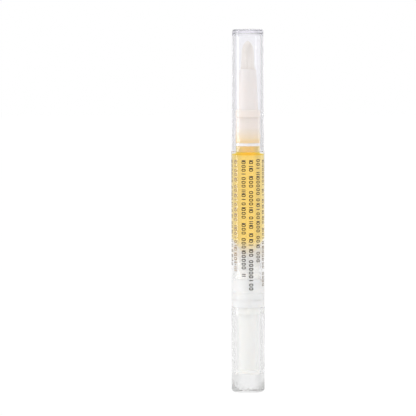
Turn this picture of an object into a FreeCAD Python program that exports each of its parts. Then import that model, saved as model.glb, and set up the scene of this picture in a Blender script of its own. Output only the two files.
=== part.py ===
import FreeCAD, Part
import Sketcher
import os
import re

# Nail oil pen: a clear barrel of oil, with a brush under a pull-off cap and a twist knob below.
# The knob turns a keyed screw through a fixed nut, and the screw pushes the piston up the barrel.
# The pen stands along +Z on its knob, and the origin is the middle of the knob's foot.

# Driving sizes in millimetres, with angles in degrees and plain counts
SIZES = {
    # Fits that several pieces share
    "seat_gap": 0.03,
    "running_gap": 0.1,
    "slide_gap": 0.04,
    "end_gap": 0.1,
    # Twist knob
    "knob_length": 31.0,
    "knob_radius": 6.0,
    "knob_bore_radius": 4.4,
    "knob_floor": 6.6,
    "knob_foot_round": 1.0,
    "knob_rim_round": 0.2,
    "knob_gap": 0.1,
    # Barrel and neck
    "barrel_length": 56.55,
    "barrel_radius": 6.0,
    "barrel_bore_radius": 4.4,
    "barrel_rear_round": 0.2,
    "barrel_shoulder_round": 0.35,
    "chamber_roof": 0.7,
    "chamber_taper": 0.7,
    "throat_radius": 2.9,
    "neck_length": 12.55,
    "neck_radius": 4.45,
    "neck_rim_round": 0.2,
    "socket_radius": 3.6,
    "socket_floor": 2.1,
    "bead_height": 5.0,
    "bead_width": 1.2,
    "bead_rise": 0.21,
    # Cap
    "cap_radius": 5.8,
    "cap_top_radius": 5.66,
    "cap_roof": 1.4,
    "cap_headroom": 2.9,
    "cap_gap": 0.1,
    "cap_edge_round": 0.9,
    "cap_ceiling_round": 1.2,
    "cap_mouth_round": 0.2,
    # Brush holder with its plug
    "flange_height": 2.6,
    "flange_radius": 4.5,
    "flange_round": 0.3,
    "cone_height": 14.8,
    "cone_base_radius": 3.8,
    "cone_tip_radius": 3.05,
    "cone_tip_round": 0.2,
    "plug_bore_radius": 2.9,
    "plug_bore_rise": 3.8,
    "holder_passage_radius": 1.2,
    # Seal ring under the plug
    "seal_height": 1.1,
    "seal_inner_radius": 2.95,
    "seal_round": 0.3,
    # Feed pipe and the sleeve that centres it
    "pipe_radius": 0.8,
    "pipe_bore_radius": 0.5,
    "pipe_dip": 0.8,
    "pipe_reach": 3.4,
    "joint_length": 7.9,
    # Brush tuft
    "tuft_length": 10.1,
    "tuft_root": 5.0,
    "tuft_radius": 2.7,
    "tuft_side_radius": 2.2,
    "tuft_side_height": 7.0,
    "tuft_tip_radius": 1.3,
    "tuft_tip_round": 1.05,
    # Piston
    "piston_lip_height": 1.0,
    "piston_waist_radius": 3.9,
    "piston_hollow_radius": 3.2,
    "piston_web": 0.9,
    "piston_lip_rise": 2.2,
    "cup_height": 7.8,
    "cup_rim_wall": 0.3,
    "cup_floor_radius": 0.8,
    # Screw spindle
    "thread_radius": 2.15,
    "thread_depth": 0.5,
    "thread_pitch": 2.5,
    "thread_crest_width": 0.7,
    "thread_root_width": 1.3,
    "spindle_flat": 1.45,
    "spindle_flat_count": 2,
    "spindle_neck_radius": 1.2,
    "button_radius": 1.9,
    "button_height": 1.6,
    "tail_radius": 2.5,
    "tail_height": 0.9,
    "tail_gap": 0.3,
    # Drive nut
    "nut_skirt_length": 6.6,
    "nut_skirt_wall": 0.87,
    "nut_web": 1.2,
    "nut_nose_length": 3.9,
    "nut_nose_wall": 0.75,
    "nut_bead_height": 2.4,
    "nut_bead_width": 0.8,
    "nut_bead_rise": 0.15,
    "swivel_room": 0.5,
    # Drive sleeve
    "sleeve_radius": 3.5,
    "sleeve_rear_collar": 1.5,
    "sleeve_front_collar": 2.5,
    "drive_length": 4.6,
    "snap_rise": 0.25,
    "snap_width": 0.6,
    "snap_inset": 2.0,
    "rib_rise": 0.42,
    "rib_width": 1.0,
    "rib_count": 4,
    # Click mechanism
    "ratchet_seat_depth": 2.4,
    "ratchet_rim": 0.3,
    "tooth_depth": 0.35,
    "tooth_count": 12,
    "click_hub_wall": 0.35,
    "click_slot_width": 1.2,
    "click_arm_gap": 0.12,
    "click_arm_thickness": 0.25,
    "click_arm_angle": 55.0,
    "click_root_angle": 12.0,
    "click_nose_radius": 0.22,
    "click_nose_lead_angle": 4.5,
    "click_nose_gap": 0.2,
    "click_arm_count": 2,
    "click_gap_number": 3,
}

# Part of the tooth spacing that the gentle side of a tooth takes up
TOOTH_RAMP_SHARE = 0.92

# Part of the barrel's wall that the ratchet ring's seat is cut into
RATCHET_SEAT_SHARE = 0.375

# Heights and radii that follow from the driving sizes
DERIVED = {
    # Heights of the outside, from the foot up
    "barrel_rear": "knob_length + knob_gap",
    "shoulder": "barrel_rear + barrel_length",
    "neck_top": "shoulder + neck_length",
    "flange_top": "neck_top + flange_height",
    "holder_tip": "flange_top + cone_height",
    "tuft_tip": "holder_tip + tuft_length",
    "cap_rim": "shoulder + cap_gap",
    "cap_ceiling": "tuft_tip + cap_headroom",
    "cap_top": "cap_ceiling + cap_roof",
    # Cap and neck
    "bead_radius": "neck_radius + bead_rise",
    "bead_base": "shoulder + bead_height",
    "cap_bore_radius": "max(bead_radius; flange_radius) + slide_gap",
    # Chamber, throat and plug
    "chamber_top": "shoulder - chamber_roof",
    "chamber_shoulder": "chamber_top - chamber_taper",
    "socket_base": "shoulder + socket_floor",
    "plug_end": "socket_base + seal_height",
    "plug_radius": "socket_radius - seat_gap",
    "plug_bore_top": "neck_top + plug_bore_rise",
    "tuft_base": "holder_tip - tuft_root",
    "tuft_socket_radius": "tuft_radius + seat_gap",
    "joint_base": "plug_bore_top - joint_length",
    "oil_level": "joint_base - seat_gap",
    "pipe_end": "joint_base - pipe_dip",
    "pipe_top": "holder_tip + pipe_reach",
    "pipe_hole_radius": "pipe_radius + seat_gap",
    # Click mechanism and nut
    "barrel_wall": "barrel_radius - barrel_bore_radius",
    "ratchet_seat_radius": f"barrel_bore_radius + barrel_wall * {RATCHET_SEAT_SHARE}",
    "seat_step": "barrel_rear + ratchet_seat_depth",
    "click_base": "barrel_rear + end_gap",
    "ratchet_height": "seat_step - click_base",
    "tooth_root_radius": "ratchet_seat_radius - seat_gap - ratchet_rim",
    "tooth_tip_radius": "tooth_root_radius - tooth_depth",
    "tooth_spacing": "360 / tooth_count",
    "nut_rear": "seat_step + end_gap",
    "nut_floor": "nut_rear + nut_skirt_length",
    "nut_top": "nut_floor + nut_web",
    "nut_nose_top": "nut_top + nut_nose_length",
    "nut_radius": "barrel_bore_radius - seat_gap",
    "nut_bore_radius": "nut_radius - nut_skirt_wall",
    "nut_hole_radius": "thread_core_radius + running_gap",
    "nut_nose_radius": "thread_radius + running_gap + nut_nose_wall",
    "nut_bead_base": "nut_rear + nut_bead_height",
    "nut_bead_radius": "nut_radius + nut_bead_rise",
    # Drive sleeve
    "collar_radius": "knob_bore_radius - seat_gap",
    "rib_base": "knob_length - sleeve_front_collar",
    "rib_radius": "collar_radius + rib_rise",
    "journal_radius": "nut_bore_radius - running_gap",
    "sleeve_front": "nut_floor - end_gap",
    "sleeve_bore_radius": "tail_radius + running_gap",
    "drive_rear": "sleeve_front - drive_length",
    "drive_bore_radius": "thread_radius + running_gap",
    "drive_flat": "spindle_flat + running_gap",
    "snap_base": "sleeve_front - snap_inset",
    "snap_radius": "journal_radius + snap_rise",
    "hub_bore_radius": "journal_radius + seat_gap",
    "hub_radius": "hub_bore_radius + click_hub_wall",
    "arm_radius": "tooth_tip_radius - click_arm_gap",
    "arm_bore_radius": "arm_radius - click_arm_thickness",
    "nose_centre_radius": "tooth_root_radius - click_nose_gap - click_nose_radius",
    # Piston and spindle
    "piston_rear": "nut_top + end_gap",
    "piston_radius": "barrel_bore_radius - seat_gap",
    "piston_hollow_top": "nut_nose_top + swivel_room",
    "piston_web_top": "piston_hollow_top + piston_web",
    "piston_lip_top": "piston_hollow_top + piston_lip_rise",
    "button_base": "piston_web_top + end_gap",
    "button_top": "button_base + button_height",
    "pocket_top": "button_top + end_gap",
    "cup_floor": "pocket_top + piston_web",
    "cup_rim": "piston_lip_top + cup_height",
    "cup_rim_radius": "piston_radius - cup_rim_wall",
    "thread_core_radius": "thread_radius - thread_depth",
    "spindle_shoulder": "piston_hollow_top - end_gap",
    "spindle_tail": "knob_floor + tail_gap",
    "tail_top": "spindle_tail + tail_height",
    "thread_turns_below": "floor((nut_floor - tail_top - thread_root_width) / thread_pitch)",
    "thread_start": "nut_floor - thread_turns_below * thread_pitch",
    "thread_rise": "spindle_shoulder - thread_root_width - thread_start",
}

# Two lengths closer than this count as the same
SAME_LENGTH = 1e-5

doc = FreeCAD.newDocument("NailOilPen")
sheet = doc.addObject("Spreadsheet::Sheet", "Sizes")
sub_parts = []


def formula(text):
    # Spells a formula out in the sheet's cells
    def cell(match):
        word = match.group()
        if word in SIZES:
            return "Sizes." + word
        if word in DERIVED:
            return "(" + formula(DERIVED[word]) + ")"
        return word

    return re.sub(r"[a-z_]+", cell, text)


def fill_sheet():
    for row, (name, value) in enumerate(SIZES.items(), start=1):
        sheet.set(f"A{row}", name)
        sheet.set(f"B{row}", str(value))
        sheet.setAlias(f"B{row}", name)
    doc.recompute()


def new_body(label):
    body = doc.addObject("PartDesign::Body", label)
    body.Label = label
    sub_parts.append(body)
    return body


def origin_feature(body, role):
    return next(feature for feature in body.Origin.OriginFeatures if feature.Role == role)


def new_sketch(body, name, role, height="0"):
    sketch = body.newObject("Sketcher::SketchObject", name)
    sketch.AttachmentSupport = [(origin_feature(body, role), "")]
    sketch.MapMode = "FlatFace"
    sketch.setExpression("AttachmentOffset.Base.z", formula(height))
    return sketch


def hold(sketch, kind, place, text):
    # Holds one coordinate of a corner at a formula, or on an axis where that is zero
    axis = -2 if kind == "DistanceX" else -1
    if text == "0":
        sketch.addConstraint(Sketcher.Constraint("PointOnObject", place, 1, axis))
        return
    start = sketch.getPoint(place, 1)
    value = start.x if kind == "DistanceX" else start.y
    index = sketch.addConstraint(Sketcher.Constraint(kind, -1, 1, place, 1, value))
    sketch.setExpression(f"Constraints[{index}]", formula(text))


def add_outline(sketch, corners):
    # A closed outline: it starts as a ring of short sides, which the formulas then pull into place
    first = sketch.GeometryCount
    count = len(corners)
    ring = Part.makeCircle(count).discretize(Number=count + 1)[:count]
    middle = FreeCAD.Vector(count, count, 0) * 2
    for place in range(count):
        side = Part.LineSegment(middle + ring[place], middle + ring[(place + 1) % count])
        sketch.addGeometry(side)
    for place in range(count):
        following = first + (place + 1) % count
        sketch.addConstraint(Sketcher.Constraint("Coincident", first + place, 2, following, 1))
    for place, corner in enumerate(corners, start=first):
        hold(sketch, "DistanceX", place, corner[0])
        hold(sketch, "DistanceY", place, corner[1])


def add_circle(sketch, radius):
    place = sketch.addGeometry(Part.Circle())
    sketch.addConstraint(Sketcher.Constraint("Coincident", place, 3, -1, 1))
    index = sketch.addConstraint(Sketcher.Constraint("Radius", place, sheet.knob_radius))
    sketch.setExpression(f"Constraints[{index}]", formula(radius))


def round_edges(body, label, sketch, corners):
    # Rounds each turned edge whose corner names a rounding
    for place, (_, _, *rounding) in enumerate(corners):
        if not rounding:
            continue
        doc.recompute()
        base = body.Tip
        at = sketch.getPoint(place, 1)
        ring = Part.makeCircle(at.x, FreeCAD.Vector(0, 0, at.y))
        names = [
            f"Edge{number}"
            for number, edge in enumerate(base.Shape.Edges, start=1)
            if abs(edge.Length - ring.Length) < SAME_LENGTH
            and edge.CenterOfMass.isEqual(ring.CenterOfMass, SAME_LENGTH)
        ]
        fillet = body.newObject("PartDesign::Fillet", f"{label}_round_{place}")
        fillet.Base = (base, names)
        fillet.setExpression("Radius", formula(rounding[0]))


def lathe(label, corners):
    # A turned piece: corners give radius and height, and a third word rounds the edge there
    body = new_body(label)
    sketch = new_sketch(body, label + "_outline", "XZ_Plane")
    add_outline(sketch, corners)
    turned = body.newObject("PartDesign::Revolution", label + "_turned")
    turned.Profile = sketch
    turned.ReferenceAxis = (sketch, ["V_Axis"])
    turned.Angle = 360
    round_edges(body, label, sketch, corners)
    doc.recompute()
    return body


def pad(body, name, sketch, length):
    feature = body.newObject("PartDesign::Pad", name)
    feature.Profile = sketch
    feature.setExpression("Length", formula(length))
    return feature


def pocket_up(body, name, sketch, length):
    feature = body.newObject("PartDesign::Pocket", name)
    feature.Profile = sketch
    feature.Reversed = True
    feature.setExpression("Length", formula(length))
    return feature


def repeat_round(body, name, feature, count):
    pattern = body.newObject("PartDesign::PolarPattern", name)
    pattern.Originals = [feature]
    pattern.Axis = (origin_feature(body, "Z_Axis"), [""])
    pattern.Angle = 360
    pattern.setExpression("Occurrences", formula(count))
    body.Tip = pattern
    doc.recompute()


def bar_corners(inner, outer, half_width):
    # A bar that points along +X, between two radii
    return [
        (inner, f"-({half_width})"),
        (outer, f"-({half_width})"),
        (outer, half_width),
        (inner, half_width),
    ]


def bead_corners(radius, base, width, peak):
    # A low bead with sloping sides round a turned piece
    slope = f"({peak} - {radius})"
    return [
        (radius, base),
        (peak, f"{base} + {slope}"),
        (peak, f"{base} + {width} - {slope}"),
        (radius, f"{base} + {width}"),
    ]


def make_cap_shell():
    lathe("cap_shell", [
        ("cap_bore_radius", "cap_rim"),
        ("cap_radius", "cap_rim", "cap_mouth_round"),
        ("cap_top_radius", "cap_top", "cap_edge_round"),
        ("0", "cap_top"),
        ("0", "cap_ceiling"),
        ("cap_bore_radius", "cap_ceiling", "cap_ceiling_round"),
    ])


def make_barrel():
    groove = bead_corners(
        "barrel_bore_radius",
        "nut_bead_base - seat_gap",
        "nut_bead_width + seat_gap + seat_gap",
        "nut_bead_radius + seat_gap",
    )
    lathe("barrel", [
        ("ratchet_seat_radius", "barrel_rear"),
        ("barrel_radius", "barrel_rear", "barrel_rear_round"),
        ("barrel_radius", "shoulder", "barrel_shoulder_round"),
        ("neck_radius", "shoulder"),
        *bead_corners("neck_radius", "bead_base", "bead_width", "bead_radius"),
        ("neck_radius", "neck_top", "neck_rim_round"),
        ("socket_radius", "neck_top"),
        ("socket_radius", "socket_base"),
        ("throat_radius", "socket_base"),
        ("throat_radius", "chamber_top"),
        ("barrel_bore_radius", "chamber_shoulder"),
        *reversed(groove),
        ("barrel_bore_radius", "seat_step"),
        ("ratchet_seat_radius", "seat_step"),
    ])


def make_brush_holder():
    lathe("brush_holder", [
        ("plug_bore_radius", "plug_end"),
        ("plug_radius", "plug_end"),
        ("plug_radius", "neck_top"),
        ("flange_radius", "neck_top"),
        ("flange_radius", "flange_top", "flange_round"),
        ("cone_base_radius", "flange_top"),
        ("cone_tip_radius", "holder_tip", "cone_tip_round"),
        ("tuft_socket_radius", "holder_tip"),
        ("tuft_socket_radius", "tuft_base"),
        ("holder_passage_radius", "tuft_base"),
        ("holder_passage_radius", "plug_bore_top"),
        ("plug_bore_radius", "plug_bore_top"),
    ])


def make_brush_tuft():
    lathe("brush_tuft", [
        ("pipe_hole_radius", "tuft_base"),
        ("tuft_radius", "tuft_base"),
        ("tuft_radius", "holder_tip"),
        ("tuft_side_radius", "holder_tip + tuft_side_height"),
        ("tuft_tip_radius", "tuft_tip", "tuft_tip_round"),
        ("0", "tuft_tip"),
        ("0", "pipe_top + seat_gap"),
        ("pipe_hole_radius", "pipe_top + seat_gap"),
    ])


def make_feed_pipe():
    lathe("feed_pipe", [
        ("pipe_bore_radius", "pipe_end"),
        ("pipe_radius", "pipe_end"),
        ("pipe_radius", "pipe_top"),
        ("pipe_bore_radius", "pipe_top"),
    ])


def make_pipe_joint():
    lathe("pipe_joint", [
        ("pipe_hole_radius", "joint_base"),
        ("plug_bore_radius - seat_gap", "joint_base"),
        ("plug_bore_radius - seat_gap", "plug_bore_top"),
        ("pipe_hole_radius", "plug_bore_top"),
    ])


def make_plug_seal_ring():
    lathe("plug_seal_ring", [
        ("seal_inner_radius", "socket_base"),
        ("plug_radius", "socket_base", "seal_round"),
        ("plug_radius", "plug_end", "seal_round"),
        ("seal_inner_radius", "plug_end"),
    ])


def make_oil():
    lathe("oil_neck", [
        ("0", "chamber_shoulder"),
        ("barrel_bore_radius - seat_gap", "chamber_shoulder"),
        ("throat_radius - seat_gap", "chamber_top"),
        ("throat_radius - seat_gap", "oil_level"),
        ("pipe_hole_radius", "oil_level"),
        ("pipe_hole_radius", "pipe_end - seat_gap"),
        ("0", "pipe_end - seat_gap"),
    ])
    lathe("oil_fill", [
        ("0", "cup_floor + running_gap"),
        ("cup_floor_radius", "cup_floor + running_gap"),
        ("cup_rim_radius", "cup_rim + running_gap"),
        ("barrel_bore_radius - seat_gap", "cup_rim + running_gap"),
        ("barrel_bore_radius - seat_gap", "chamber_shoulder"),
        ("0", "chamber_shoulder"),
    ])


def make_piston():
    lathe("piston", [
        ("piston_hollow_radius", "piston_rear"),
        ("piston_radius", "piston_rear"),
        ("piston_radius", "piston_rear + piston_lip_height"),
        ("piston_waist_radius", "piston_rear + piston_lip_height + piston_lip_height"),
        ("piston_waist_radius", "piston_lip_top - piston_lip_height - piston_lip_height"),
        ("piston_radius", "piston_lip_top - piston_lip_height"),
        ("piston_radius", "cup_rim"),
        ("cup_rim_radius", "cup_rim"),
        ("cup_floor_radius", "cup_floor"),
        ("0", "cup_floor"),
        ("0", "pocket_top"),
        ("button_radius + running_gap", "pocket_top"),
        ("button_radius + running_gap", "piston_web_top"),
        ("spindle_neck_radius + running_gap", "piston_web_top"),
        ("spindle_neck_radius + running_gap", "piston_hollow_top"),
        ("piston_hollow_radius", "piston_hollow_top"),
    ])


def thread_corners(start, play):
    # Cross-section of the thread's ridge, with its foot sunk into the core and some play all round
    def half(width):
        return f"{width} / 2 + {play}"

    foot = "thread_core_radius - thread_depth / 2"
    return [
        (foot, f"{start} - ({half('thread_root_width')})"),
        (f"thread_core_radius + {play}", f"{start} - ({half('thread_root_width')})"),
        (f"thread_radius + {play}", f"{start} - ({half('thread_crest_width')})"),
        (f"thread_radius + {play}", f"{start} + {half('thread_crest_width')}"),
        (f"thread_core_radius + {play}", f"{start} + {half('thread_root_width')}"),
        (foot, f"{start} + {half('thread_root_width')}"),
    ]


def add_thread(body, kind, name, start, rise, play):
    sketch = new_sketch(body, name + "_ridge", "XZ_Plane")
    add_outline(sketch, thread_corners(start, play))
    doc.recompute()
    thread = body.newObject(kind, name)
    thread.Profile = sketch
    thread.ReferenceAxis = (origin_feature(body, "Z_Axis"), [""])
    thread.Mode = "pitch-height-angle"
    thread.setExpression("Pitch", formula("thread_pitch"))
    thread.setExpression("Height", formula(rise))
    doc.recompute()


def make_spindle():
    body = lathe("spindle", [
        ("0", "spindle_tail"),
        ("tail_radius", "spindle_tail"),
        ("tail_radius", "tail_top"),
        ("thread_core_radius", "tail_top"),
        ("thread_core_radius", "spindle_shoulder"),
        ("spindle_neck_radius", "spindle_shoulder"),
        ("spindle_neck_radius", "button_base"),
        ("button_radius", "button_base"),
        ("spindle_neck_radius", "button_top"),
        ("0", "button_top"),
    ])
    add_thread(body, "PartDesign::AdditiveHelix", "spindle_thread", "thread_start", "thread_rise", "0")
    sketch = new_sketch(body, "spindle_flat_outline", "XY_Plane", "tail_top")
    add_outline(sketch, bar_corners("spindle_flat", "tail_radius", "tail_radius"))
    flat = pocket_up(body, "spindle_flat_cut", sketch, "spindle_shoulder - tail_top")
    repeat_round(body, "spindle_flats", flat, "spindle_flat_count")


def make_drive_nut():
    groove = bead_corners(
        "nut_bore_radius",
        "snap_base - running_gap",
        "snap_width + running_gap + running_gap",
        "snap_radius + running_gap",
    )
    body = lathe("drive_nut", [
        ("nut_bore_radius", "nut_rear"),
        ("nut_radius", "nut_rear"),
        *bead_corners("nut_radius", "nut_bead_base", "nut_bead_width", "nut_bead_radius"),
        ("nut_radius", "nut_top"),
        ("nut_nose_radius", "nut_top"),
        ("nut_nose_radius", "nut_nose_top"),
        ("nut_hole_radius", "nut_nose_top"),
        ("nut_hole_radius", "nut_floor"),
        ("nut_bore_radius", "nut_floor"),
        *reversed(groove),
    ])
    add_thread(
        body,
        "PartDesign::SubtractiveHelix",
        "nut_thread",
        "(nut_floor - thread_pitch)",
        "nut_nose_top - nut_floor + thread_pitch + thread_pitch",
        "running_gap",
    )


def make_drive_sleeve():
    body = lathe("drive_sleeve", [
        ("sleeve_bore_radius", "knob_floor"),
        ("collar_radius", "knob_floor"),
        ("collar_radius", "knob_floor + sleeve_rear_collar"),
        ("sleeve_radius", "knob_floor + sleeve_rear_collar"),
        ("sleeve_radius", "rib_base"),
        ("collar_radius", "rib_base"),
        ("collar_radius", "knob_length"),
        ("journal_radius", "knob_length"),
        *bead_corners("journal_radius", "snap_base", "snap_width", "snap_radius"),
        ("journal_radius", "sleeve_front"),
        ("drive_bore_radius", "sleeve_front"),
        ("drive_bore_radius", "drive_rear"),
        ("sleeve_bore_radius", "drive_rear"),
    ])
    sketch = new_sketch(body, "drive_flat_outline", "XY_Plane", "drive_rear")
    add_outline(sketch, bar_corners("drive_flat", "sleeve_bore_radius", "drive_bore_radius"))
    flat = pad(body, "drive_flat", sketch, "drive_length")
    repeat_round(body, "drive_flats", flat, "spindle_flat_count")
    sketch = new_sketch(body, "rib_outline", "XY_Plane", "rib_base")
    add_outline(sketch, bar_corners("sleeve_radius", "rib_radius", "rib_width / 2"))
    rib = pad(body, "rib", sketch, "sleeve_front_collar")
    repeat_round(body, "ribs", rib, "rib_count")
    sketch = new_sketch(body, "click_key_outline", "XY_Plane", "knob_length")
    key_half_width = "click_slot_width / 2 - seat_gap"
    add_outline(sketch, bar_corners("sleeve_bore_radius + seat_gap", "hub_radius", key_half_width))
    pad(body, "click_key", sketch, "click_base - knob_length + ratchet_height - end_gap")


def make_knob_shell():
    body = lathe("knob_shell", [
        ("0", "0"),
        ("knob_radius", "0", "knob_foot_round"),
        ("knob_radius", "knob_length", "knob_rim_round"),
        ("knob_bore_radius", "knob_length"),
        ("knob_bore_radius", "knob_floor"),
        ("0", "knob_floor"),
    ])
    sketch = new_sketch(body, "slot_outline", "XY_Plane", "rib_base - seat_gap")
    slot_half_width = "rib_width / 2 + seat_gap"
    add_outline(sketch, bar_corners("sleeve_radius", "rib_radius + seat_gap", slot_half_width))
    slot = pocket_up(body, "slot", sketch, "sleeve_front_collar + seat_gap + seat_gap")
    repeat_round(body, "slots", slot, "rib_count")


def make_ratchet_ring():
    body = new_body("ratchet_ring")
    sketch = new_sketch(body, "ratchet_outline", "XY_Plane", "click_base")
    add_circle(sketch, "ratchet_seat_radius - seat_gap")
    add_circle(sketch, "tooth_tip_radius")
    pad(body, "ratchet_band", sketch, "ratchet_height")
    doc.recompute()
    # The gap between two teeth: one steep side along +X, and a long ramp back to the tip
    ramp = f"(tooth_spacing * {TOOTH_RAMP_SHARE})"
    inside = "(tooth_tip_radius - tooth_depth)"
    sketch = new_sketch(body, "tooth_gap_outline", "XY_Plane", "click_base")
    add_outline(sketch, [
        (inside, "0"),
        ("tooth_root_radius", "0"),
        (f"tooth_tip_radius * cos({ramp})", f"tooth_tip_radius * sin({ramp})"),
        (f"{inside} * cos({ramp})", f"{inside} * sin({ramp})"),
    ])
    gap = pocket_up(body, "tooth_gap", sketch, "ratchet_height")
    repeat_round(body, "tooth_gaps", gap, "tooth_count")


def ring_sector(name, inner, outer, start_angle, angle):
    # Part of a flat ring, as tall as the click ring
    cylinders = []
    for suffix, radius in (("outer", outer), ("inner", inner)):
        cylinder = doc.addObject("Part::Cylinder", f"{name}_{suffix}")
        cylinder.Placement.Rotation = FreeCAD.Rotation(FreeCAD.Vector(0, 0, 1), 1)
        cylinder.setExpression("Radius", formula(radius))
        cylinder.setExpression("Height", formula("ratchet_height - end_gap"))
        cylinder.setExpression("Angle", formula(angle))
        cylinder.setExpression("Placement.Base.z", formula("click_base"))
        cylinder.setExpression("Placement.Rotation.Angle", formula(start_angle))
        cylinders.append(cylinder)
    sector = doc.addObject("Part::Cut", name)
    sector.Base, sector.Tool = cylinders
    return sector


def make_click_ring():
    # A split hub keyed to the sleeve, with spring arms whose round noses lie in the tooth gaps
    slot_angle = "(2 * asin(click_slot_width / 2 / hub_bore_radius) / 1 deg)"
    pieces = [
        ring_sector("click_hub", "hub_bore_radius", "hub_radius", f"{slot_angle} / 2", f"360 - {slot_angle}"),
    ]
    for place in range(int(sheet.click_arm_count)):
        turn = f"(tooth_spacing * (click_gap_number + floor(tooth_count / click_arm_count * {place})))"
        nose_angle = f"({turn} + click_nose_lead_angle)"
        pieces.append(
            ring_sector(f"click_arm_{place}", "arm_bore_radius", "arm_radius", nose_angle, "click_arm_angle")
        )
        pieces.append(
            ring_sector(
                f"click_root_{place}",
                "hub_radius - seat_gap",
                "arm_radius",
                f"{nose_angle} + click_arm_angle - click_root_angle",
                "click_root_angle",
            )
        )
        nose = doc.addObject("Part::Cylinder", f"click_nose_{place}")
        nose.setExpression("Radius", formula("click_nose_radius"))
        nose.setExpression("Height", formula("ratchet_height - end_gap"))
        nose.setExpression("Placement.Base.x", formula(f"nose_centre_radius * cos({nose_angle})"))
        nose.setExpression("Placement.Base.y", formula(f"nose_centre_radius * sin({nose_angle})"))
        nose.setExpression("Placement.Base.z", formula("click_base"))
        pieces.append(nose)
    ring = doc.addObject("Part::MultiFuse", "click_ring")
    ring.Shapes = pieces
    ring.Refine = True
    ring.Label = "click_ring"
    sub_parts.append(ring)


def check_document():
    doc.recompute()
    for item in doc.Objects:
        if "Invalid" in item.State or "Error" in item.State:
            raise RuntimeError(f"{item.Name} failed: {item.State}")
    for item in sub_parts:
        if item.Shape.isNull() or not item.Shape.isValid() or len(item.Shape.Solids) != 1:
            raise RuntimeError(f"{item.Label} is not one sound solid")


def write_parts():
    os.makedirs("parts", exist_ok=True)
    for item in sub_parts:
        item.Shape.exportStep(f"parts/{item.Label}.step")
        print(f"{item.Label}: {item.Shape.Volume:.2f} mm3")


fill_sheet()
make_cap_shell()
make_barrel()
make_brush_holder()
make_brush_tuft()
make_feed_pipe()
make_pipe_joint()
make_plug_seal_ring()
make_oil()
make_piston()
make_spindle()
make_drive_nut()
make_drive_sleeve()
make_knob_shell()
make_ratchet_ring()
make_click_ring()
check_document()
write_parts()
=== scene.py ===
import bmesh
import bpy
import numpy as np
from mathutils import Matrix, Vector


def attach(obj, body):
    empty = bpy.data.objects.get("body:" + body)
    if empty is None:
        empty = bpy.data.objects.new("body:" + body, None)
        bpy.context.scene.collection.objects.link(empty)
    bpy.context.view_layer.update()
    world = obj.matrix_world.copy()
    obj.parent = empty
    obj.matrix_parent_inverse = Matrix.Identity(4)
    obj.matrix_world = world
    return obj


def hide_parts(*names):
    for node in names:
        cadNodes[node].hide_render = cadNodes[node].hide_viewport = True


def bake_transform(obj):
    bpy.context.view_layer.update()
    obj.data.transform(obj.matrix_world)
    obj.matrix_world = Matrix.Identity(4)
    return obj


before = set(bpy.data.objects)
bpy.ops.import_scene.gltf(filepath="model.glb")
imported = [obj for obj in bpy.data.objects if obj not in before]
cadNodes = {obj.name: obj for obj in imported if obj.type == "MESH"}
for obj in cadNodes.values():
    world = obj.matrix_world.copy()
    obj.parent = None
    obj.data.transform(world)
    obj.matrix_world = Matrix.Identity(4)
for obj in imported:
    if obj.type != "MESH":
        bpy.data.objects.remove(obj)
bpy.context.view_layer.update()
print("frame loaded with", len(cadNodes), "CAD nodes")

mm = 0.001  # pieces are sized in mm, and the scene is in metres
wholeTurn = 2 * np.pi
hair = 0.001  # mm, a step too small to see
touching = 0.01  # mm, faces closer than this count as one
poleReach = 1e-8  # metres, points closer than this are drawn together
noiseMiddle = 0.5  # value about which a noise field swings
white = (1, 1, 1)

# Fits, in mm: room round a piece inside another, gap between two ends, and film between oil and wall
slip = 0.03
endGap = 0.02
film = 0.005
cupFilm = 0.1  # mm between the piston's cup and the oil in it


# Outline of a turned piece, in mm. Each corner is radius, height and rounding, and a rounded corner
# becomes an arc: two spokes from the arc's middle, blended by the sines of the part turned.
def roundedOutline(corners, steps=8):
    points = np.array([corner[:2] for corner in corners], float)
    parts = []
    for place, corner in enumerate(corners):
        here = points[place]
        rounding = corner[2] if len(corner) > 2 else 0
        if rounding == 0:
            parts.append(here[None])
            continue
        back = points[place - 1] - here
        ahead = points[(place + 1) % len(points)] - here
        back = back / np.linalg.norm(back)
        ahead = ahead / np.linalg.norm(ahead)
        half = np.arccos(np.clip(back @ ahead, -1, 1)) / 2
        inward = (back + ahead) / np.linalg.norm(back + ahead)
        middle = here + inward * rounding / np.sin(half)
        first = here + back * rounding / np.tan(half) - middle
        last = here + ahead * rounding / np.tan(half) - middle
        sweep = np.pi - 2 * half
        share = np.linspace(0, 1, steps + 1)[:, None]
        spokes = np.sin((1 - share) * sweep) * first + np.sin(share * sweep) * last
        parts.append(middle + spokes / np.sin(sweep))
    return np.vstack(parts)


# Angles of a number of things spread evenly round the axis
def evenAngles(count):
    return np.arange(count) * wholeTurn / count


# Evenly spaced angles, with a close pair of extra ones at each listed edge so that a step there is sharp
def roundAngles(sides, edges=()):
    sharp = np.radians(0.01)
    extra = np.array([[edge - sharp, edge + sharp] for edge in edges]).ravel() % wholeTurn
    return np.sort(np.concatenate([np.linspace(0, wholeTurn, sides, endpoint=False), extra]))


# True where an angle lies within reach of one of the centres, measured the short way round
def nearAngle(angle, centres, reach):
    away = np.abs((angle[None] - np.array(centres)[:, None] + np.pi) % wholeTurn - np.pi)
    return (away < reach).any(axis=0)


# Radius grid in which the chosen rows have another radius wherever the angle is near one of the centres
def stepped(radius, rows, angle, centres, reach, other):
    return np.where(rows[:, None] & nearAngle(angle, centres, reach)[None], other, radius)


# Surface of turning: radius times cosine and sine of the angle, at each height of the outline.
# radius may be one column, or a whole grid where it changes with the angle too.
def turnedGrid(radius, height, angle):
    radius = np.broadcast_to(radius if radius.ndim == 2 else radius[:, None], (len(height), len(angle)))
    upright = np.broadcast_to(height[:, None], radius.shape)
    return np.stack([radius * np.cos(angle), radius * np.sin(angle), upright], axis=-1) * mm


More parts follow.
